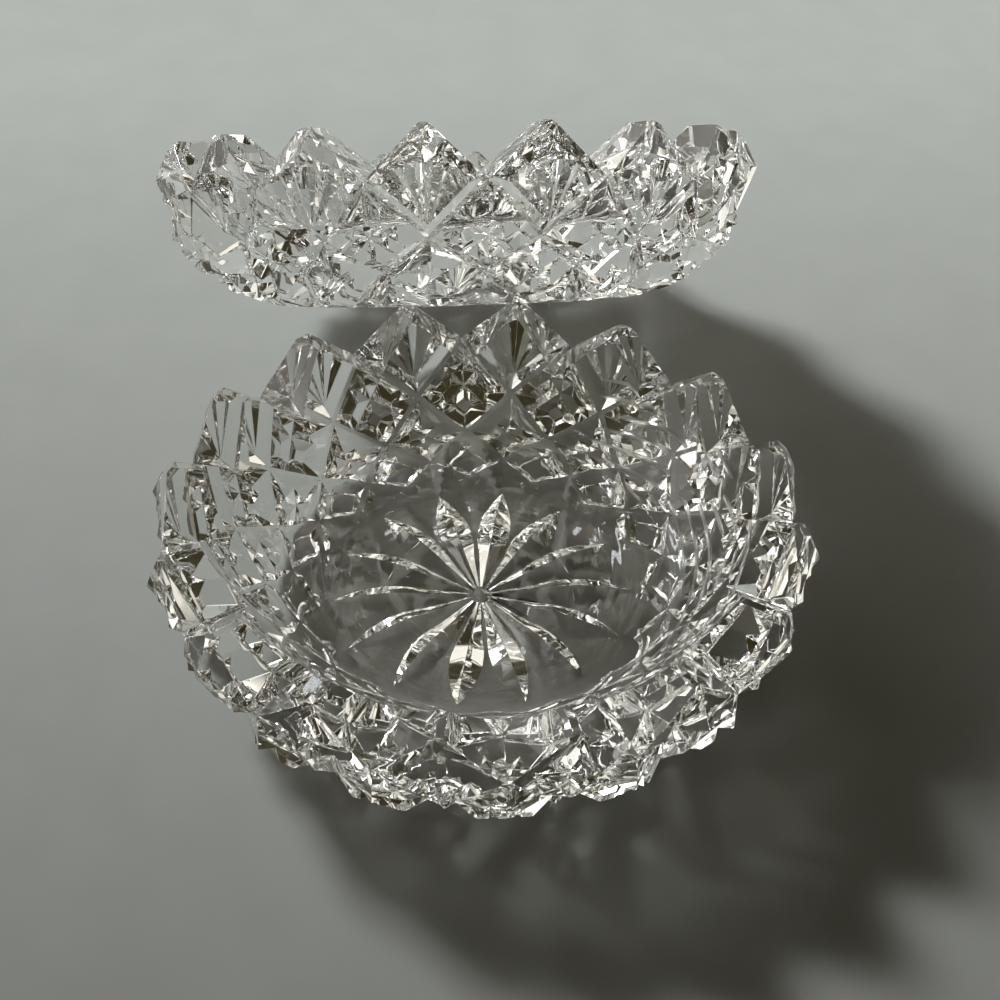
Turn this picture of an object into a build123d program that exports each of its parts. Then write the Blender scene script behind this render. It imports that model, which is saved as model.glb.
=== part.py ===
from build123d import *
import os
from math import asin, atan2, cos, degrees, radians, sin, sqrt, tan

# A matched pair of thick cut-glass open salts: one stands flat, the other leans on its rim.
# Millimetres, +Z up, table at Z = 0, the standing salt's centre on the Z axis, the leaning salt at +Y.

# Body of one salt
height = 16.9
rim_radius = 32.0
rim_height = 11.7
base_radius = 16.4
wall_curve = 16.4
tip_radius = 30.2
tip_blunt = 1.1
rim_width = 4.0
floor_radius = 18.6
floor_thickness = 7.65
bowl_curve = 40.0
floor_fillet = 2.5

# Pointed teeth round the rim
tooth_count = 16
notch_depth = 5.7
ridge_land = 0.6
facet_angle = 25.0
facet_reach = 8.0

# Diagonal mitre grooves that make the diamonds: heights up the uncut wall and depths below it, by row
node_1_height = 5.15
node_2_height = 2.0
node_3_height = 0.2
node_4_height = 0.0
node_0_depth = 2.3
node_1_depth = 2.0
node_2_depth = 1.6
node_3_depth = 0.8
node_4_depth = 0.4
groove_angle = 94.0
groove_flat = 0.5

# Shallower crossed grooves that split each diamond into four points, by row
cross_1_depth = 1.2
cross_2_depth = 0.95
cross_3_depth = 0.6

# Fan of rays on each tooth
fan_focus_rise = 1.5
fan_focus_depth = 1.1
fan_reach = 6.2
fan_tip_depth = 0.3
fan_spread = (0.17, 0.46, 0.78)
fan_angle = 116.0

# Star under the base: leaf-shaped rays with narrow tails that meet at the centre
star_rays = 14
star_border = 2.1
star_middle_radius = 8.8
star_depth = 1.5
star_tail_radius = 1.0
star_tail_depth = 0.2
star_angle = 94.0
star_margin = 0.3

# Lean of the second salt
lean_angle = 36.6
lean_turn = 2.6
contact_gap = 0.05

# Cutters reach this far past what they cut
cutter_overrun = 1.0
cutter_rise = 6.0

pitch = 360 / tooth_count
half_pitch = pitch / 2
valley_height = height - notch_depth
mouth_radius = tip_radius - rim_width
star_radius = base_radius - star_border
core_radius = star_radius + star_margin

# Centre of the outer wall's bow, in radius and height
wall_foot = Vector(base_radius, 0)
wall_top = Vector(rim_radius, rim_height)
wall_chord = wall_top - wall_foot
wall_outward = Vector(wall_chord.Y, -wall_chord.X).normalized()
wall_inset = sqrt(wall_curve**2 - (wall_chord.length / 2) ** 2)
wall_centre = (wall_foot + wall_top) / 2 - wall_outward * wall_inset


def around(radius, level, turn):
    """Point at a radius and a height, turned about the Z axis."""
    return Vector(radius * cos(radians(turn)), radius * sin(radians(turn)), level)


def wall_frame(level):
    """Radius of the uncut outer wall at a height, with its outward slope."""
    if level <= rim_height:
        radius = wall_centre.X + sqrt(wall_curve**2 - (wall_centre.Y - level) ** 2)
        outward = Vector(radius - wall_centre.X, level - wall_centre.Y).normalized()
        return radius, outward
    lean_in = (rim_radius - tip_radius) / (height - tip_blunt - rim_height)
    return rim_radius - lean_in * (level - rim_height), Vector(1, lean_in).normalized()


def wall_slope(level):
    """Angle round the wall's bow at a height."""
    return asin((wall_centre.Y - level) / wall_curve)


def wall_level(slope):
    """Height at an angle round the wall's bow."""
    return wall_centre.Y - wall_curve * sin(slope)


def wall_point(level, depth, turn):
    """Point below the uncut outer wall, at the wall's own depth."""
    radius, outward = wall_frame(level)
    return around(radius - outward.X * depth, level - outward.Y * depth, turn)


def wall_normal(level, turn):
    """Outward normal of the uncut outer wall."""
    outward = wall_frame(level)[1]
    return around(outward.X, outward.Y, turn)


def v_cutter(start, end, outward, angle, flat=0.0, overrun=0.0, rise=cutter_rise):
    """Straight V cutter whose edge, with a narrow flat, runs from start to end and opens outward."""
    run = (end - start).normalized()
    up = (outward - run * outward.dot(run)).normalized()
    half_flat = flat / 2
    half_width = half_flat + rise * tan(radians(angle / 2))
    with BuildPart() as cutter:
        with BuildSketch(Plane(start - run * overrun, x_dir=up, z_dir=run)):
            with BuildLine():
                flank = Line((0, half_flat), (rise, half_width))
                Polyline(flank @ 1, (rise, -half_width), (0, -half_flat))
                if flat:
                    Line((0, -half_flat), flank @ 0)
            make_face()
        extrude(amount=(end - start).length + 2 * overrun)
    return cutter.part


def notch_cutter():
    """Radial V notch between two teeth, sloping down outward so that the ridges stay even."""
    hub = Vector(0, 0, height)
    valley = around(rim_radius, valley_height, half_pitch)
    slope = asin(notch_depth / (valley - hub).length)
    half_width = rim_radius * sin(radians(half_pitch)) - ridge_land / 2
    angle = 2 * degrees(atan2(half_width, notch_depth * cos(slope)))
    inner = hub + (valley - hub) * (core_radius / rim_radius)
    rise = notch_depth + cutter_rise
    return v_cutter(inner, valley, Vector(0, 0, 1), angle, overrun=cutter_overrun, rise=rise)


# Rows of groove crossings from the rim down, as height up the uncut wall and depth below it
node_rows = (
    (valley_height, node_0_depth),
    (node_1_height, node_1_depth),
    (node_2_height, node_2_depth),
    (node_3_height, node_3_depth),
    (node_4_height, node_4_depth),
)


def groove_cutters():
    """Both diagonals of the lattice across one tooth, one straight cut from node to node."""
    cutters = []
    for row, (upper, lower) in enumerate(zip(node_rows, node_rows[1:])):
        for side in (half_pitch, -half_pitch):
            turns = (side, 0) if row % 2 == 0 else (0, side)
            start = wall_point(*upper, turns[0])
            end = wall_point(*lower, turns[1])
            outward = wall_normal(upper[0], turns[0]) + wall_normal(lower[0], turns[1])
            cutters.append(v_cutter(start, end, outward, groove_angle, groove_flat, cutter_overrun))
    return cutters


def cross_cutters(row, turn, depth):
    """The two shallow grooves through the middle of the diamond between the nodes of a row."""
    above, below = node_rows[row - 1], node_rows[row + 1]
    level = wall_level((wall_slope(above[0]) + wall_slope(below[0])) / 2)
    centre = wall_point(level, depth, turn)
    drop = wall_point(*below, turn) - wall_point(*above, turn)
    span = wall_point(*node_rows[row], turn + half_pitch) - wall_point(*node_rows[row], turn - half_pitch)
    cutters = []
    for reach in ((drop + span) / 4, (drop - span) / 4):
        cutters.append(v_cutter(centre - reach, centre + reach, wall_normal(level, turn), groove_angle))
    return cutters


# Ridge up the middle of a tooth, from its widest level to its tip, with the outward slope of its face
ridge_foot = wall_point(rim_height, 0, 0)
ridge_run = (wall_point(height - tip_blunt, 0, 0) - ridge_foot).normalized()
ridge_face = ridge_run.cross(Vector(0, -1, 0))


def facet_normal(side):
    """Outward normal of the flat facet on one side of a tooth's ridge."""
    return ridge_face * cos(radians(facet_angle)) + Vector(0, side * sin(radians(facet_angle)), 0)


def facet_cutters():
    """Blocks that cut the two flat facets, one each side of the ridge."""
    cutters = []
    for side in (1, -1):
        with BuildPart(Plane(ridge_foot, x_dir=ridge_run, z_dir=facet_normal(side))) as cutter:
            Box(2 * facet_reach, 2 * facet_reach, cutter_rise, align=(Align.CENTER, Align.CENTER, Align.MIN))
        cutters.append(cutter.part)
    return cutters


def fan_cutters():
    """Straight rays that spread from a focus above a tooth's node and end on an arc across its facets."""
    focus = wall_point(node_1_height + fan_focus_rise, fan_focus_depth, 0)
    cutters = []
    for share in sorted({side * share for share in fan_spread for side in (1, -1)}):
        across = rim_radius * sin(radians(half_pitch)) * share
        normal = facet_normal(1 if share > 0 else -1)
        step = Vector(0, across, focus.Z + sqrt(fan_reach**2 - across**2) - ridge_foot.Z)
        inward = step.dot(normal) / normal.X
        tip = ridge_foot + step - Vector(inward, 0, 0) - normal * fan_tip_depth
        cutters.append(v_cutter(focus, tip, wall_normal(node_1_height, 0) + normal, fan_angle))
    return cutters


# One tooth with its strip of the wall, from the star's disc outward
with BuildPart() as tooth_sector:
    edge = around(1, 0, -half_pitch)
    with BuildSketch(Plane((0, 0, 0), x_dir=edge, z_dir=edge.cross(Vector(0, 0, 1)))) as tooth_profile:
        with BuildLine():
            base = Line((core_radius, 0), (base_radius, 0))
            wall = RadiusArc(base @ 1, (rim_radius, rim_height), -wall_curve)
            rim = Polyline(
                wall @ 1, (tip_radius, height - tip_blunt), (tip_radius - tip_blunt, height), (mouth_radius, height)
            )
            bowl = RadiusArc(rim @ 1, (floor_radius, floor_thickness), bowl_curve)
            Polyline(bowl @ 1, (core_radius, floor_thickness), base @ 0)
        make_face()
        fillet(tooth_profile.vertices().sort_by_distance(bowl @ 1)[0], floor_fillet)
    revolve(axis=Axis.Z, revolution_arc=pitch)
    with PolarLocations(0, 3, start_angle=-pitch, angular_range=2 * pitch, endpoint=True):
        add(notch_cutter(), mode=Mode.SUBTRACT)
        add(groove_cutters(), mode=Mode.SUBTRACT)
    add(facet_cutters(), mode=Mode.SUBTRACT)
    add(fan_cutters(), mode=Mode.SUBTRACT)
    add(cross_cutters(2, 0, cross_2_depth), mode=Mode.SUBTRACT)
    for side in (half_pitch, -half_pitch):
        add(cross_cutters(1, side, cross_1_depth), mode=Mode.SUBTRACT)
        add(cross_cutters(3, side, cross_3_depth), mode=Mode.SUBTRACT)

# Wheel that cuts one leaf-shaped ray of the base star
star_half_length = star_radius - star_middle_radius
wheel_radius = star_half_length**2 / (2 * star_depth) + star_depth / 2
with BuildPart() as star_wheel:
    wheel_middle = Vector(star_middle_radius, 0, star_depth - wheel_radius)
    with BuildSketch(Plane(wheel_middle, x_dir=(0, 0, 1), z_dir=(1, 0, 0))):
        with BuildLine():
            wheel_half = wheel_radius / 2 * tan(radians(star_angle / 2))
            Polyline(
                (wheel_radius / 2, wheel_half), (wheel_radius, 0), (wheel_radius / 2, -wheel_half), close=True
            )
        make_face()
    revolve(axis=Axis(wheel_middle, (0, 1, 0)))

# Straight tail of a ray, from the centre into the leaf
tail_start = Vector(star_tail_radius, 0, star_tail_depth)
tail_end = Vector(star_middle_radius, 0, star_depth)
star_tail = v_cutter(tail_start, tail_end, Vector(0, 0, -1), star_angle)

# One ray of the base star with its slice of the floor
star_pitch = 360 / star_rays
with BuildPart() as star_sector:
    edge = around(1, 0, -star_pitch / 2)
    with BuildSketch(Plane((0, 0, 0), x_dir=edge, z_dir=edge.cross(Vector(0, 0, 1)))):
        with Locations((core_radius / 2, floor_thickness / 2)):
            Rectangle(core_radius, floor_thickness)
    revolve(axis=Axis.Z, revolution_arc=star_pitch)
    add([star_wheel.part, star_tail], mode=Mode.SUBTRACT)

# The standing salt: star and teeth repeated round the axis, a notch and a gap of the star at +Y
with BuildPart() as standing_salt:
    with PolarLocations(0, star_rays, start_angle=90 + star_pitch / 2):
        add(star_sector.part)
    with PolarLocations(0, tooth_count, start_angle=90 + half_pitch):
        add(tooth_sector.part)

# The leaning salt's base lies on the two rear teeth and its back wall on the table
lean = radians(lean_angle)
wall_reach = wall_centre.X * sin(lean) - wall_centre.Y * cos(lean) + wall_curve
tip_corners = ((tip_radius - tip_blunt, height), (tip_radius, height - tip_blunt))
tip_reach = max(r * cos(radians(half_pitch)) * sin(lean) + z * cos(lean) for r, z in tip_corners)
lean_offset = (tip_reach + contact_gap - wall_reach * cos(lean)) / sin(lean)
lean_place = Location((0, lean_offset, wall_reach), (-lean_angle, 0, 0))

with BuildPart() as leaning_salt:
    with Locations(lean_place * Location((0, 0, 0), (0, 0, lean_turn))):
        add(standing_salt.part)

standing_salt.part.label = "standing_salt"
leaning_salt.part.label = "leaning_salt"

os.makedirs("parts", exist_ok=True)
for salt in (standing_salt, leaning_salt):
    export_step(salt.part, f"parts/{salt.part.label}.step")
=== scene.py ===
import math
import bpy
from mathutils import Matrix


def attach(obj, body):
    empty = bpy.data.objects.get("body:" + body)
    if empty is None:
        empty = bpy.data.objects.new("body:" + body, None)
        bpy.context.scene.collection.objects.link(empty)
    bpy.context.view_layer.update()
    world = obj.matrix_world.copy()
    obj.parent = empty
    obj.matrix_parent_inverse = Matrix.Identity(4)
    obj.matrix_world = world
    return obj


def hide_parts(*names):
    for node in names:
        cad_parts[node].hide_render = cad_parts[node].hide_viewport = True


bl_info = {
    "name": "Cut-glass open salts",
    "version": (1, 0, 0),
    "blender": (4, 5, 0),
    "location": "View3D > Sidebar > Salts",
    "description": "Dresses a pair of cut-glass open salts and sets the stage they stand on",
    "category": "Object",
}

import bpy
from bpy.props import FloatProperty, FloatVectorProperty, IntProperty, PointerProperty
from bpy.types import Operator, Panel, PropertyGroup
from mathutils import Matrix, Vector

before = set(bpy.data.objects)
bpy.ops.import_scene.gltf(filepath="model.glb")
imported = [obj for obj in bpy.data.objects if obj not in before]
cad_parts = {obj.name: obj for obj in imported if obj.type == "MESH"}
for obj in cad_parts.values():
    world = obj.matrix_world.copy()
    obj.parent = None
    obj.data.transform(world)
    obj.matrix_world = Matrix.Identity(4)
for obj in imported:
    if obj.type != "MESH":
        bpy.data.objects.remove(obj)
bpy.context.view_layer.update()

LATHE = "lathe_place"
SENSOR_WIDTH = 36.0
WAVES_PER_SCALE = 20 / math.tau


class SaltGlassSettings(PropertyGroup):
    """Sizes and finish of the cut glass."""

    merge_gap: FloatProperty(
        name="Merge gap",
        description="Corners of the blank closer than this are one corner",
        default=0.00001,
        unit="LENGTH",
        precision=6,
    )
    flat_angle: FloatProperty(
        name="Flat angle",
        description="Neighbouring faces within this angle belong to one polished cut",
        default=math.radians(0.3),
        subtype="ANGLE",
    )
    sharp_angle: FloatProperty(
        name="Sharp angle",
        description="Faces that meet at more than this angle have a polished arris between them",
        default=math.radians(24),
        subtype="ANGLE",
    )
    arris_width: FloatProperty(
        name="Arris width",
        description="Width of the polished arris on each side of an edge",
        default=0.000045,
        unit="LENGTH",
        precision=6,
    )
    smooth_angle: FloatProperty(
        name="Smooth angle",
        description="Faces that meet at less than this angle shade as one curve",
        default=math.radians(16),
        subtype="ANGLE",
    )
    tint: FloatVectorProperty(
        name="Tint",
        description="Faint colour of the glass",
        default=(0.990, 0.985, 0.965),
        min=0,
        max=1,
        subtype="COLOR",
    )
    index: FloatProperty(
        name="Refractive index",
        description="How strongly the glass bends light",
        default=1.53,
        min=1,
        max=2,
    )
    ripple_scale: FloatProperty(
        name="Ripple scale",
        description="Ripples of the hand polish per metre",
        default=260,
        min=0,
    )
    ripple_height: FloatProperty(
        name="Ripple height",
        description="Height of the polish ripples",
        default=0.00002,
        unit="LENGTH",
        precision=6,
    )
    ring_gap: FloatProperty(
        name="Ring gap",
        description="Distance between the rings that the polish left inside the bowl",
        default=0.0013,
        unit="LENGTH",
        precision=5,
    )
    ring_height: FloatProperty(
        name="Ring height",
        description="Height of the rings that the polish left inside the bowl",
        default=0.000010,
        unit="LENGTH",
        precision=6,
    )
    ring_waver: FloatProperty(
        name="Ring waver",
        description="How far the rings stray from round",
        default=2.0,
        min=0,
    )
    ring_middle: FloatProperty(
        name="Ring middle",
        description="Share of the rings' height that is left in the middle of the bowl's floor",
        default=0.15,
        min=0,
        max=1,
        subtype="FACTOR",
    )
    wear_gap: FloatProperty(
        name="Wear gap",
        description="Distance between the scratches that spoons left on one side of the bowl",
        default=0.0010,
        unit="LENGTH",
        precision=5,
    )
    wear_width: FloatProperty(
        name="Wear width",
        description="Half the width of a spoon's scratch",
        default=0.00016,
        unit="LENGTH",
        precision=6,
    )
    wear_depth: FloatProperty(
        name="Wear depth",
        description="Depth of a spoon's scratch half-way up the wall",
        default=0.000070,
        unit="LENGTH",
        precision=6,
    )
    wear_roughness: FloatProperty(
        name="Wear roughness",
        description="Roughness of the glass in a spoon's scratch",
        default=0.28,
        min=0,
        max=1,
    )
    wear_wander: FloatProperty(
        name="Wear wander",
        description="How many gaps a scratch strays from round",
        default=3.0,
        min=0,
    )
    wear_wander_scale: FloatProperty(
        name="Wear wander scale",
        description="Strays of the scratches per metre",
        default=70.0,
        min=0,
    )
    wear_patch_scale: FloatProperty(
        name="Wear patch scale",
        description="Patches of whole and missing scratches per metre",
        default=220.0,
        min=0,
    )
    wear_patch_edge: FloatVectorProperty(
        name="Wear patch edge",
        description="Noise at which a scratch is missing, and at which it is whole",
        default=(0.42, 0.50),
        size=2,
    )
    wear_side_edge: FloatVectorProperty(
        name="Wear side edge",
        description="Cosine of the angle from the worn side at which scratches are missing, and are whole",
        default=(0.55, 0.85),
        size=2,
    )
    wear_ends: FloatVectorProperty(
        name="Wear ends",
        description="Distance of the scratches from the edge of the floor and from the mouth",
        default=(0.0005, 0.0014),
        size=2,
        unit="LENGTH",
        precision=5,
    )
    wear_fade: FloatProperty(
        name="Wear fade",
        description="Half the distance over which the scratches end",
        default=0.0002,
        unit="LENGTH",
        precision=5,
    )
    wear_steepness: FloatVectorProperty(
        name="Wear steepness",
        description="Depth of the scratches at the floor and at the mouth, as shares of the wear depth",
        default=(0.6, 1.4),
        size=2,
    )
    wear_side: FloatVectorProperty(
        name="Wear side",
        description="Side of the bowl that spoons have worn",
        default=(0.99, 0.05, 0.0),
        subtype="DIRECTION",
    )
    floor_place: FloatVectorProperty(
        name="Bowl floor",
        description="Radius and height of the edge of the bowl's floor",
        default=(0.0186, 0.00765),
        size=2,
        unit="LENGTH",
    )
    mouth_place: FloatVectorProperty(
        name="Mouth",
        description="Radius and height of the bowl's mouth",
        default=(0.0262, 0.0169),
        size=2,
        unit="LENGTH",
    )
    wall_band: FloatProperty(
        name="Wall band",
        description="How far under the straight line from floor to mouth still counts as the bowl's wall",
        default=0.0025,
        unit="LENGTH",
        precision=4,
    )
    lean_angle: FloatProperty(
        name="Lean",
        description="Lean of the second salt",
        default=math.radians(36.6),
        subtype="ANGLE",
    )
    lean_place: FloatVectorProperty(
        name="Lean place",
        description="Centre of the second salt's base",
        default=(0.0, 0.03396, 0.01294),
        subtype="TRANSLATION",
        unit="LENGTH",
        precision=5,
    )


class SaltStageSettings(PropertyGroup):
    """The table, the lamps and the camera."""

    table_size: FloatProperty(
        name="Table size",
        description="Side of the square table top",
        default=3.0,
        unit="LENGTH",
    )
    table_gap: FloatProperty(
        name="Table gap",
        description="Air between the table top and the base of the standing salt",
        default=0.00015,
        unit="LENGTH",
        precision=5,
    )
    table_colour: FloatVectorProperty(
        name="Table colour",
        description="Colour of the pale table top behind the salts",
        default=(0.580, 0.583, 0.514),
        min=0,
        max=1,
        subtype="COLOR",
    )
    # Painted shade: the table top's colour is painted darker in front of the salts, where less light falls
    table_painted_shade: FloatVectorProperty(
        name="Near table colour",
        description="Colour of the pale table top in front of the salts",
        default=(0.228, 0.222, 0.192),
        min=0,
        max=1,
        subtype="COLOR",
    )
    # Where the painted shade towards the front begins and where it is whole
    table_shade_depth: FloatVectorProperty(
        name="Table depth",
        description="Places in front of and behind the standing salt between which the colour changes",
        default=(-0.06, 0.10),
        size=2,
        unit="LENGTH",
    )
    # Where the painted shade on the left turns into the painted light on the right
    table_shade_width: FloatVectorProperty(
        name="Table width",
        description="Places left and right of the standing salt between which the shade changes",
        default=(-0.10, 0.10),
        size=2,
        unit="LENGTH",
    )
    # Painted shade on the left and painted light on the right, as shares of the table's colour
    table_painted_shading: FloatVectorProperty(
        name="Table shades",
        description="Shares of the table's colour on the left and on the right",
        default=(0.93, 1.10),
        size=2,
    )
    table_roughness: FloatProperty(
        name="Table roughness",
        description="Roughness of the matt table top",
        default=0.85,
        min=0,
        max=1,
        subtype="FACTOR",
    )
    table_shine: FloatProperty(
        name="Table shine",
        description="Shine of the matt table top",
        default=0.2,
        min=0,
        max=1,
        subtype="FACTOR",
    )
    mottle_scale: FloatProperty(
        name="Mottle scale",
        description="Mottles of the table top per metre",
        default=140.0,
        min=0,
    )
    mottle_range: FloatVectorProperty(
        name="Mottle range",
        description="Noise at which a mottle is darkest, and at which it is palest",
        default=(0.3, 0.7),
        size=2,
    )
    mottle_share: FloatProperty(
        name="Mottle share",
        description="Share of the colour by which a mottle is darker or paler",
        default=0.025,
        min=0,
        max=1,
        subtype="FACTOR",
    )
    window_place: FloatVectorProperty(
        name="Window place",
        description="Centre of the window lamp",
        default=(-1.500, 1.648, 1.446),
        subtype="TRANSLATION",
        unit="LENGTH",
    )
    window_aim: FloatVectorProperty(
        name="Window aim",
        description="Point the window lamp faces",
        default=(-0.01, 0.05, 0.0),
        subtype="TRANSLATION",
        unit="LENGTH",
    )
    window_size: FloatVectorProperty(
        name="Window size",
        description="Width and height of the window lamp",
        default=(0.48, 0.40),
        size=2,
        unit="LENGTH",
    )
    window_power: FloatProperty(
        name="Window power",
        description="Power of the window lamp",
        default=54.0,
        min=0,
        unit="POWER",
    )
    sky_size: FloatVectorProperty(
        name="Sky size",
        description="Width and height of the sky lamp round the window lamp",
        default=(0.80, 0.66),
        size=2,
        unit="LENGTH",
    )
    sky_power: FloatProperty(
        name="Sky power",
        description="Power of the sky lamp",
        default=27.0,
        min=0,
        unit="POWER",
    )
    window_colour: FloatVectorProperty(
        name="Window colour",
        description="Colour of the window lamp",
        default=(0.94, 1.0, 1.09),
        min=0,
        max=2,
        subtype="COLOR",
    )
    room_dark: FloatVectorProperty(
        name="Dark of the room",
        description="Light from the dark of the room",
        default=(0.032, 0.0265, 0.0110),
        min=0,
        max=1,
        subtype="COLOR",
    )
    room_glow: FloatVectorProperty(
        name="Glow of the room",
        description="Light from the wall round the window",
        default=(0.66, 0.67, 0.68),
        min=0,
        max=2,
        subtype="COLOR",
    )
    panel_bright: FloatVectorProperty(
        name="Panel",
        description="White of the panels that only the glass mirrors",
        default=(0.98, 0.95, 0.87),
        min=0,
        max=2,
        subtype="COLOR",
    )
    window_side: FloatVectorProperty(
        name="Window side",
        description="Direction of the window",
        default=(-0.68, 0.56, 0.42),
        subtype="DIRECTION",
    )
    glow_spread: FloatVectorProperty(
        name="Glow spread",
        description="Angles from the window at which the room's glow ends and is whole",
        default=(math.radians(45.6), 0.0),
        size=2,
        unit="ROTATION",
    )
    window_spread: FloatVectorProperty(
        name="Window panel spread",
        description="Angles from the window at which its panel ends and is whole",
        default=(math.radians(56.6), math.radians(36.9)),
        size=2,
        unit="ROTATION",
    )
    top_spread: FloatVectorProperty(
        name="Top panel spread",
        description="Angles from the top at which the overhead panel ends and is whole",
        default=(math.radians(28.4), math.radians(18.2)),
        size=2,
        unit="ROTATION",
    )
    top_side: FloatVectorProperty(
        name="Top side",
        description="Direction of the overhead panel",
        default=(0.05, 0.25, 1.0),
        subtype="DIRECTION",
    )
    camera_aim: FloatVectorProperty(
        name="Camera aim",
        description="Point on the table in the middle of the view, before the turn",
        default=(0.00157, 0.01723, 0.0),
        subtype="TRANSLATION",
        unit="LENGTH",
        precision=5,
    )
    camera_turn: FloatProperty(
        name="Camera turn",
        description="Turn of the view about the vertical",
        default=math.radians(-5.8),
        subtype="ANGLE",
    )
    camera_rise: FloatProperty(
        name="Camera rise",
        description="Height of the view above the horizon",
        default=math.radians(43.47),
        subtype="ANGLE",
    )
    camera_tilt: FloatProperty(
        name="Camera tilt",
        description="Tilt of the picture about the line of sight",
        default=math.radians(-1.895),
        subtype="ANGLE",
    )
    camera_distance: FloatProperty(
        name="Camera distance",
        description="Distance from the camera to its aim",
        default=0.2080,
        unit="LENGTH",
        precision=4,
    )
    camera_lens: FloatProperty(
        name="Lens",
        description="Focal length on a 36 mm sensor",
        default=72.0,
        unit="CAMERA",
    )
    camera_reach: FloatVectorProperty(
        name="Camera reach",
        description="Nearest and farthest distance that the camera sees",
        default=(0.01, 50.0),
        size=2,
        unit="LENGTH",
    )
    glass_bounces: IntProperty(
        name="Glass bounces",
        description="How many faces of the glass a line of sight may pass",
        default=18,
        min=0,
    )
    mirror_bounces: IntProperty(
        name="Mirror bounces",
        description="How many faces of the glass a line of sight may be mirrored in",
        default=12,
        min=0,
    )
    clear_bounces: IntProperty(
        name="Clear bounces",
        description="How many clear faces a line of sight may cross unbent",
        default=32,
        min=0,
    )


def link(tree, *pairs):
    """Joins pairs of sockets in a node tree."""
    for output, target in pairs:
        tree.links.new(output, target)


def make(tree, kind, operation=None, **values):
    """Adds a node, sets its operation and the values of its numbered or named sockets."""
    node = tree.nodes.new(kind)
    if operation:
        node.operation = operation
    for key, value in values.items():
        name = int(key[1:]) if key[1:].isdigit() else key.replace("_", " ")
        node.inputs[name].default_value = value
    return node


def ramp(tree, between, to=(0, 1)):
    """Adds a node that turns a value between two bounds into a value between two others."""
    low, high = between
    start, end = to
    return make(tree, "ShaderNodeMapRange", From_Min=low, From_Max=high, To_Min=start, To_Max=end)


def spoon_wear(tree, lathe, flat, radius, settings):
    """Fine scratches along one side of the bowl's wall, as a depth from 0 to 1."""
    floor_radius, mouth_radius = settings.floor_place[0], settings.mouth_place[0]
    lowest, highest = floor_radius + settings.wear_ends[0], mouth_radius - settings.wear_ends[1]
    fade = settings.wear_fade
    half_width = settings.wear_width / settings.wear_gap

    wobble = make(tree, "ShaderNodeTexNoise", Scale=settings.wear_wander_scale, Detail=0.0)
    count = make(tree, "ShaderNodeMath", "MULTIPLY", _1=1 / settings.wear_gap)
    turns = make(tree, "ShaderNodeMath", "MULTIPLY_ADD", _1=settings.wear_wander)
    apart = make(tree, "ShaderNodeMath", "PINGPONG", _1=0.5)
    groove = ramp(tree, (0, half_width), (1, 0))
    patches = make(tree, "ShaderNodeTexNoise", Scale=settings.wear_patch_scale, Detail=1.0)
    broken = ramp(tree, settings.wear_patch_edge)
    heading = make(tree, "ShaderNodeVectorMath", "NORMALIZE")
    facing = make(tree, "ShaderNodeVectorMath", "DOT_PRODUCT", _1=Vector(settings.wear_side).normalized())
    side = ramp(tree, settings.wear_side_edge)
    lower = ramp(tree, (lowest - fade, lowest + fade))
    upper = ramp(tree, (highest - fade, highest + fade), (1, 0))
    steeper = ramp(tree, (floor_radius, mouth_radius), settings.wear_steepness)
    link(
        tree,
        (lathe, wobble.inputs["Vector"]),
        (radius, count.inputs[0]),
        (wobble.outputs["Fac"], turns.inputs[0]),
        (count.outputs[0], turns.inputs[2]),
        (turns.outputs[0], apart.inputs[0]),
        (apart.outputs[0], groove.inputs["Value"]),
        (lathe, patches.inputs["Vector"]),
        (patches.outputs["Fac"], broken.inputs["Value"]),
        (flat, heading.inputs[0]),
        (heading.outputs["Vector"], facing.inputs[0]),
        (facing.outputs["Value"], side.inputs["Value"]),
        (radius, lower.inputs["Value"]),
        (radius, upper.inputs["Value"]),
        (radius, steeper.inputs["Value"]),
    )
    depth = groove.outputs["Result"]
    for mask in (broken, side, lower, upper, steeper):
        masked = make(tree, "ShaderNodeMath", "MULTIPLY")
        link(tree, (depth, masked.inputs[0]), (mask.outputs["Result"], masked.inputs[1]))
        depth = masked.outputs[0]
    return depth


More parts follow.
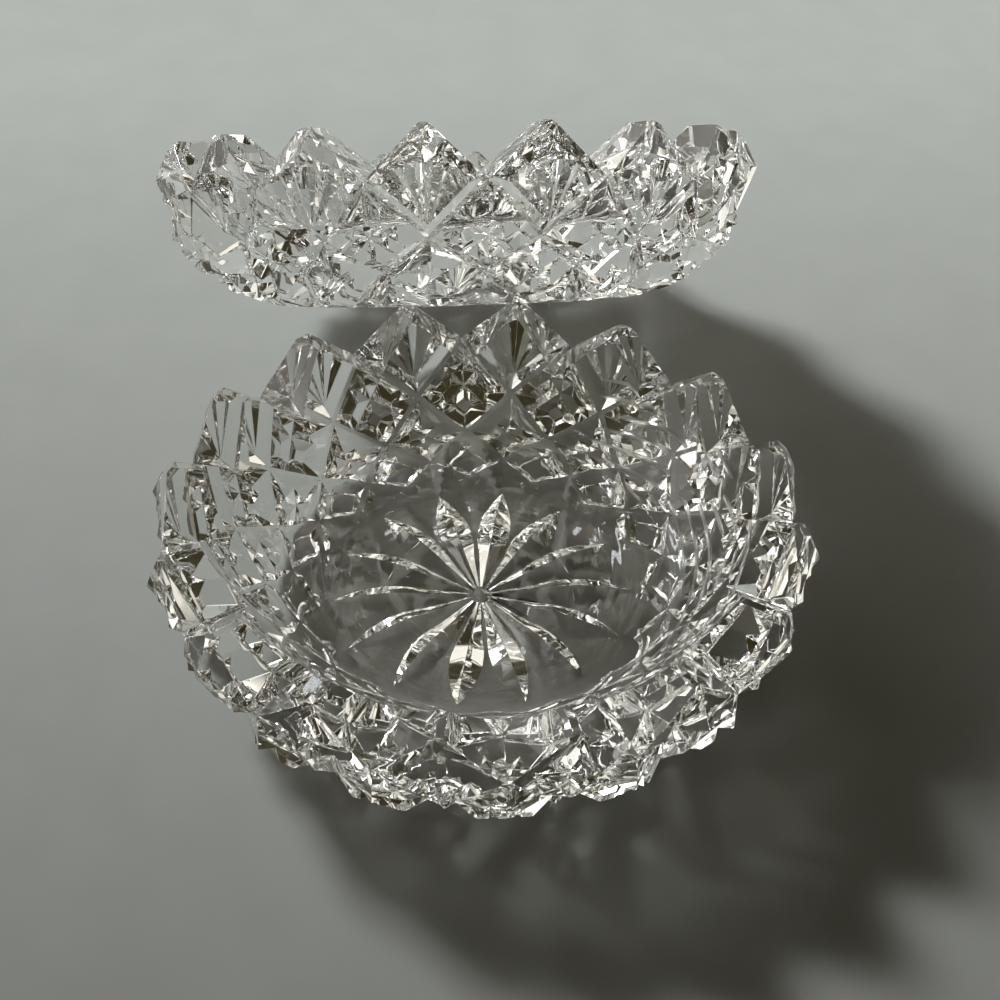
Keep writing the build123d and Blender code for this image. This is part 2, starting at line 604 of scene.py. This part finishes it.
def bowl_relief(tree, settings, worn):
    """Faint lathe rings and any spoon scratches inside the bowl: height in polish ripples, and roughness."""
    floor_radius, floor_height = settings.floor_place
    mouth_radius, mouth_height = settings.mouth_place
    slope = (mouth_height - floor_height) / (mouth_radius - floor_radius)
    wall_band = settings.wall_band

    lathe = make(tree, "ShaderNodeAttribute")
    lathe.attribute_name = LATHE
    axes = make(tree, "ShaderNodeSeparateXYZ")
    flat = make(tree, "ShaderNodeVectorMath", "MULTIPLY", _1=(1, 1, 0))
    radius = make(tree, "ShaderNodeVectorMath", "LENGTH")
    climb = make(tree, "ShaderNodeMath", "MULTIPLY_ADD", _1=-slope, _2=slope * floor_radius - floor_height)
    above = make(tree, "ShaderNodeMath", "ADD")
    inside = ramp(tree, (-wall_band, -wall_band / 2))
    rings = make(
        tree,
        "ShaderNodeTexWave",
        Scale=1 / settings.ring_gap / WAVES_PER_SCALE,
        Distortion=settings.ring_waver,
        Detail=2.0,
        Detail_Scale=0.35,
    )
    rings.wave_type = "RINGS"
    rings.rings_direction = "Z"
    outward = ramp(tree, (floor_radius / 2, floor_radius), (settings.ring_middle, 1))
    fading = ramp(tree, (floor_radius, mouth_radius), (1, 0))
    zone = make(tree, "ShaderNodeMath", "MULTIPLY")
    band = make(tree, "ShaderNodeMath", "MULTIPLY")
    ring_height = make(tree, "ShaderNodeMath", "MULTIPLY", _1=settings.ring_height / settings.ripple_height)
    ring = make(tree, "ShaderNodeMath", "MULTIPLY")
    link(
        tree,
        (lathe.outputs["Vector"], axes.inputs["Vector"]),
        (lathe.outputs["Vector"], flat.inputs[0]),
        (flat.outputs["Vector"], radius.inputs[0]),
        (radius.outputs["Value"], climb.inputs[0]),
        (climb.outputs[0], above.inputs[0]),
        (axes.outputs["Z"], above.inputs[1]),
        (above.outputs[0], inside.inputs["Value"]),
        (lathe.outputs["Vector"], rings.inputs["Vector"]),
        (radius.outputs["Value"], outward.inputs["Value"]),
        (inside.outputs["Result"], band.inputs[0]),
        (radius.outputs["Value"], fading.inputs["Value"]),
        (outward.outputs["Result"], zone.inputs[0]),
        (fading.outputs["Result"], zone.inputs[1]),
        (zone.outputs[0], band.inputs[1]),
        (rings.outputs["Fac"], ring_height.inputs[0]),
        (ring_height.outputs[0], ring.inputs[0]),
        (band.outputs[0], ring.inputs[1]),
    )
    if not worn:
        return ring.outputs[0], None
    scratches = spoon_wear(
        tree, lathe.outputs["Vector"], flat.outputs["Vector"], radius.outputs["Value"], settings
    )
    scratch_core = 0.2
    wear = make(tree, "ShaderNodeMath", "MULTIPLY")
    height = make(tree, "ShaderNodeMath", "MULTIPLY_ADD", _1=-settings.wear_depth / settings.ripple_height)
    roughness = ramp(tree, (0, scratch_core), (0, settings.wear_roughness))
    link(
        tree,
        (scratches, wear.inputs[0]),
        (inside.outputs["Result"], wear.inputs[1]),
        (wear.outputs[0], height.inputs[0]),
        (ring.outputs[0], height.inputs[2]),
        (wear.outputs[0], roughness.inputs["Value"]),
    )
    return height.outputs[0], roughness.outputs["Result"]


def cut_glass_material(name, settings, worn):
    """Nearly colourless glass with the faint ripples and rings of the polish, and with spoon wear if worn."""
    material = bpy.data.materials.new(name)
    material.use_nodes = True
    tree = material.node_tree
    glass = tree.nodes["Principled BSDF"]
    glass.inputs["Base Color"].default_value = (*settings.tint, 1)
    glass.inputs["Roughness"].default_value = 0.0
    glass.inputs["Transmission Weight"].default_value = 1.0
    glass.inputs["IOR"].default_value = settings.index

    place = make(tree, "ShaderNodeTexCoord")
    ripple = make(tree, "ShaderNodeTexNoise", Scale=settings.ripple_scale, Detail=1.0)
    bowl_height, roughness = bowl_relief(tree, settings, worn)
    relief = make(tree, "ShaderNodeMath", "ADD")
    bump = make(tree, "ShaderNodeBump", Strength=1.0, Distance=settings.ripple_height)
    link(
        tree,
        (place.outputs["Object"], ripple.inputs["Vector"]),
        (ripple.outputs["Fac"], relief.inputs[0]),
        (bowl_height, relief.inputs[1]),
        (relief.outputs[0], bump.inputs["Height"]),
        (bump.outputs["Normal"], glass.inputs["Normal"]),
    )
    if worn:
        link(tree, (roughness, glass.inputs["Roughness"]))
    return material


def table_material(settings):
    """Pale matt paper with a faint mottle, painted darker towards the front and the left (painted shade) and
    paler on the right (painted light).
    """
    material = bpy.data.materials.new("pale_paper_painted_shade")
    material.use_nodes = True
    tree = material.node_tree
    paper = tree.nodes["Principled BSDF"]
    paper.inputs["Roughness"].default_value = settings.table_roughness
    paper.inputs["Specular IOR Level"].default_value = settings.table_shine

    place = make(tree, "ShaderNodeTexCoord")
    axes = make(tree, "ShaderNodeSeparateXYZ")
    # Painted shade: the paper's colour is mixed towards a darker colour towards the front
    depth = ramp(tree, settings.table_shade_depth)
    shade = make(tree, "ShaderNodeMix")
    shade.data_type = "RGBA"
    shade.inputs[6].default_value = (*settings.table_painted_shade, 1)
    shade.inputs[7].default_value = (*settings.table_colour, 1)
    # Painted shade on the left and painted light on the right of the table top
    across = ramp(tree, settings.table_shade_width, settings.table_painted_shading)
    mottle = make(tree, "ShaderNodeTexNoise", Scale=settings.mottle_scale, Detail=6.0)
    faint = ramp(tree, settings.mottle_range, (1 - settings.mottle_share, 1 + settings.mottle_share))
    level = make(tree, "ShaderNodeMath", "MULTIPLY")
    toned = make(tree, "ShaderNodeVectorMath", "SCALE")
    link(
        tree,
        (place.outputs["Object"], axes.inputs["Vector"]),
        (axes.outputs["Y"], depth.inputs["Value"]),
        (depth.outputs["Result"], shade.inputs[0]),
        (axes.outputs["X"], across.inputs["Value"]),
        (place.outputs["Object"], mottle.inputs["Vector"]),
        (mottle.outputs["Fac"], faint.inputs["Value"]),
        (across.outputs["Result"], level.inputs[0]),
        (faint.outputs["Result"], level.inputs[1]),
        (shade.outputs[2], toned.inputs[0]),
        (level.outputs[0], toned.inputs["Scale"]),
        (toned.outputs["Vector"], paper.inputs["Base Color"]),
    )
    return material


def sole(obj):
    """Makes an object the only one selected, and the active one."""
    bpy.ops.object.select_all(action="DESELECT")
    obj.select_set(True)
    bpy.context.view_layer.objects.active = obj


def dress_salt(node_name, piece_name, placement, material, settings):
    """Dresses a copy of a blank: flat faces joined, sharp edges polished, places on the lathe noted."""
    piece = bpy.data.objects.new(piece_name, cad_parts[node_name].data.copy())
    piece.data.name = piece_name
    bpy.context.scene.collection.objects.link(piece)
    sole(piece)
    bpy.ops.object.mode_set(mode="EDIT")
    bpy.ops.mesh.select_all(action="SELECT")
    bpy.ops.mesh.remove_doubles(threshold=settings.merge_gap)
    bpy.ops.mesh.customdata_custom_splitnormals_clear()
    bpy.ops.mesh.dissolve_limited(angle_limit=settings.flat_angle)
    bpy.ops.mesh.select_all(action="DESELECT")
    bpy.ops.mesh.select_mode(type="EDGE")
    bpy.ops.mesh.edges_select_sharp(sharpness=settings.sharp_angle)
    bpy.ops.mesh.bevel(offset=settings.arris_width, segments=1, clamp_overlap=False)
    bpy.ops.object.mode_set(mode="OBJECT")
    bpy.ops.object.shade_smooth_by_angle(angle=settings.smooth_angle)
    unplaced = placement.inverted()
    lathe = piece.data.attributes.new(LATHE, "FLOAT_VECTOR", "POINT")
    for corner, vertex in zip(lathe.data, piece.data.vertices):
        corner.vector = unplaced @ vertex.co
    piece.data.materials.clear()
    piece.data.materials.append(material)
    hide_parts(node_name)
    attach(piece, node_name)
    piece.cycles.is_caustics_caster = True


class SALT_OT_dress_pair(Operator):
    """Dress both salts in polished cut glass"""

    bl_idname = "salt.dress_pair"
    bl_label = "Dress the pair"

    def execute(self, context):
        settings = context.scene.salt_glass
        worn = cut_glass_material("worn_cut_glass", settings, True)
        clean = cut_glass_material("clean_cut_glass", settings, False)
        lean = Matrix.Translation(settings.lean_place) @ Matrix.Rotation(-settings.lean_angle, 4, "X")
        upright = Matrix.Identity(4)
        dress_salt("standing_salt", "standing_salt_glass", upright, worn, settings)
        dress_salt("leaning_salt", "leaning_salt_glass", lean, clean, settings)
        return {"FINISHED"}


class SALT_OT_set_table(Operator):
    """Lay the pale table top under the salts"""

    bl_idname = "salt.set_table"
    bl_label = "Lay the table"

    def execute(self, context):
        settings = context.scene.salt_stage
        bpy.ops.object.select_all(action="DESELECT")
        bpy.ops.mesh.primitive_plane_add(size=settings.table_size, location=(0, 0, -settings.table_gap))
        table = context.active_object
        table.name = "table_top"
        table.data.materials.append(table_material(settings))
        table.cycles.is_caustics_receiver = True
        return {"FINISHED"}


def glass_sight(tree):
    """1 for a line of sight that reached the room through or off the glass alone, else 0."""
    path = make(tree, "ShaderNodeLightPath")
    bent = make(tree, "ShaderNodeMath", "MAXIMUM")
    direct = make(tree, "ShaderNodeMath", "LESS_THAN", _1=0.5)
    both = make(tree, "ShaderNodeMath", "MULTIPLY")
    link(
        tree,
        (path.outputs["Is Glossy Ray"], bent.inputs[0]),
        (path.outputs["Is Transmission Ray"], bent.inputs[1]),
        (path.outputs["Diffuse Depth"], direct.inputs[0]),
        (bent.outputs[0], both.inputs[0]),
        (direct.outputs[0], both.inputs[1]),
    )
    return both.outputs[0]


def room_patch(tree, direction, side, spread):
    """A soft round patch of the room: 0 at the first angle of its spread from a side, 1 at the second."""
    edge, core = spread
    nearness = make(tree, "ShaderNodeVectorMath", "DOT_PRODUCT", _1=Vector(side).normalized())
    span = ramp(tree, (math.cos(edge), math.cos(core)))
    span.interpolation_type = "SMOOTHSTEP"
    link(tree, (direction, nearness.inputs[0]), (nearness.outputs["Value"], span.inputs["Value"]))
    return span.outputs["Result"]


def add_patch(tree, light, patch, colour, seen):
    """Adds a patch of light to the room, for every line of sight or only where it is seen."""
    if seen:
        masked = make(tree, "ShaderNodeMath", "MULTIPLY")
        link(tree, (patch, masked.inputs[0]), (seen, masked.inputs[1]))
        patch = masked.outputs[0]
    total = make(tree, "ShaderNodeMix")
    total.data_type = "RGBA"
    total.blend_type = "ADD"
    total.inputs[7].default_value = (*colour, 1)
    link(tree, (patch, total.inputs[0]), (light, total.inputs[6]))
    return total.outputs[2]


class SALT_OT_set_light(Operator):
    """Set the two window lamps and the dim room round the salts"""

    bl_idname = "salt.set_light"
    bl_label = "Set the light"

    def execute(self, context):
        settings = context.scene.salt_stage
        place = Vector(settings.window_place)
        facing = (Vector(settings.window_aim) - place).to_track_quat("-Z", "Y")
        for name, size, power, traced in (
            ("window_lamp", settings.window_size, settings.window_power, True),
            ("sky_lamp", settings.sky_size, settings.sky_power, False),
        ):
            bpy.ops.object.light_add(type="AREA", location=place, rotation=facing.to_euler())
            lamp = context.active_object
            lamp.name = name
            lamp.data.shape = "RECTANGLE"
            lamp.data.size, lamp.data.size_y = size
            lamp.data.energy = power
            lamp.data.color = settings.window_colour
            lamp.data.cycles.is_caustics_light = traced

        world = bpy.data.worlds.new("dim_room")
        world.use_nodes = True
        context.scene.world = world
        tree = world.node_tree
        direction = make(tree, "ShaderNodeTexCoord").outputs["Generated"]
        mirrored = glass_sight(tree)
        glow = room_patch(tree, direction, settings.window_side, settings.glow_spread)
        wide = room_patch(tree, direction, settings.window_side, settings.window_spread)
        overhead = room_patch(tree, direction, settings.top_side, settings.top_spread)
        light = make(tree, "ShaderNodeRGB").outputs[0]
        light.default_value = (*settings.room_dark, 1)
        for patch, colour, seen in (
            (glow, settings.room_glow, None),
            (wide, settings.panel_bright, mirrored),
            (overhead, settings.panel_bright, mirrored),
        ):
            light = add_patch(tree, light, patch, colour, seen)
        link(tree, (light, tree.nodes["Background"].inputs["Color"]))
        return {"FINISHED"}


class SALT_OT_set_camera(Operator):
    """Set the camera above the front of the salts"""

    bl_idname = "salt.set_camera"
    bl_label = "Set the camera"

    def execute(self, context):
        settings = context.scene.salt_stage
        rise, tilt = settings.camera_rise, settings.camera_tilt
        sight = Vector((0, math.cos(rise), -math.sin(rise)))
        across = Vector((1, 0, 0))
        up = Vector((0, math.sin(rise), math.cos(rise)))
        right = across * math.cos(tilt) - up * math.sin(tilt)
        top = across * math.sin(tilt) + up * math.cos(tilt)
        stand = Matrix((right, top, -sight)).transposed().to_4x4()
        stand.translation = Vector(settings.camera_aim) - sight * settings.camera_distance
        turned = Matrix.Rotation(settings.camera_turn, 4, "Z") @ stand
        bpy.ops.object.camera_add(location=turned.translation, rotation=turned.to_euler())
        camera = context.active_object
        camera.name = "front_camera"
        camera.data.sensor_width = SENSOR_WIDTH
        camera.data.lens = settings.camera_lens
        camera.data.clip_start, camera.data.clip_end = settings.camera_reach
        context.scene.camera = camera
        return {"FINISHED"}


class SALT_OT_set_picture(Operator):
    """Set how the picture follows light through the glass"""

    bl_idname = "salt.set_picture"
    bl_label = "Set the picture"

    def execute(self, context):
        scene = context.scene
        settings = scene.salt_stage
        scene.view_settings.view_transform = "Standard"
        scene.cycles.max_bounces = settings.glass_bounces
        scene.cycles.transmission_bounces = settings.glass_bounces
        scene.cycles.glossy_bounces = settings.mirror_bounces
        scene.cycles.transparent_max_bounces = settings.clear_bounces
        scene.cycles.caustics_refractive = True
        scene.cycles.caustics_reflective = True
        return {"FINISHED"}


OPERATORS = (
    SALT_OT_dress_pair,
    SALT_OT_set_table,
    SALT_OT_set_light,
    SALT_OT_set_camera,
    SALT_OT_set_picture,
)


class SALT_PT_sidebar(Panel):
    """Steps and sizes of the pair of salts"""

    bl_label = "Cut-glass open salts"
    bl_idname = "SALT_PT_sidebar"
    bl_space_type = "VIEW_3D"
    bl_region_type = "UI"
    bl_category = "Salts"

    def draw(self, context):
        layout = self.layout
        for operator in OPERATORS:
            layout.operator(operator.bl_idname)
        for settings in (context.scene.salt_glass, context.scene.salt_stage):
            column = layout.column(align=True)
            for name in settings.__annotations__:
                column.prop(settings, name)


CLASSES = (SaltGlassSettings, SaltStageSettings, *OPERATORS, SALT_PT_sidebar)


def register():
    for cls in CLASSES:
        bpy.utils.register_class(cls)
    bpy.types.Scene.salt_glass = PointerProperty(type=SaltGlassSettings)
    bpy.types.Scene.salt_stage = PointerProperty(type=SaltStageSettings)


def unregister():
    del bpy.types.Scene.salt_stage
    del bpy.types.Scene.salt_glass
    for cls in reversed(CLASSES):
        bpy.utils.unregister_class(cls)


def main():
    register()
    bpy.ops.salt.dress_pair()
    bpy.ops.salt.set_table()
    bpy.ops.salt.set_light()
    bpy.ops.salt.set_camera()
    bpy.ops.salt.set_picture()


if __name__ == "__main__":
    main()
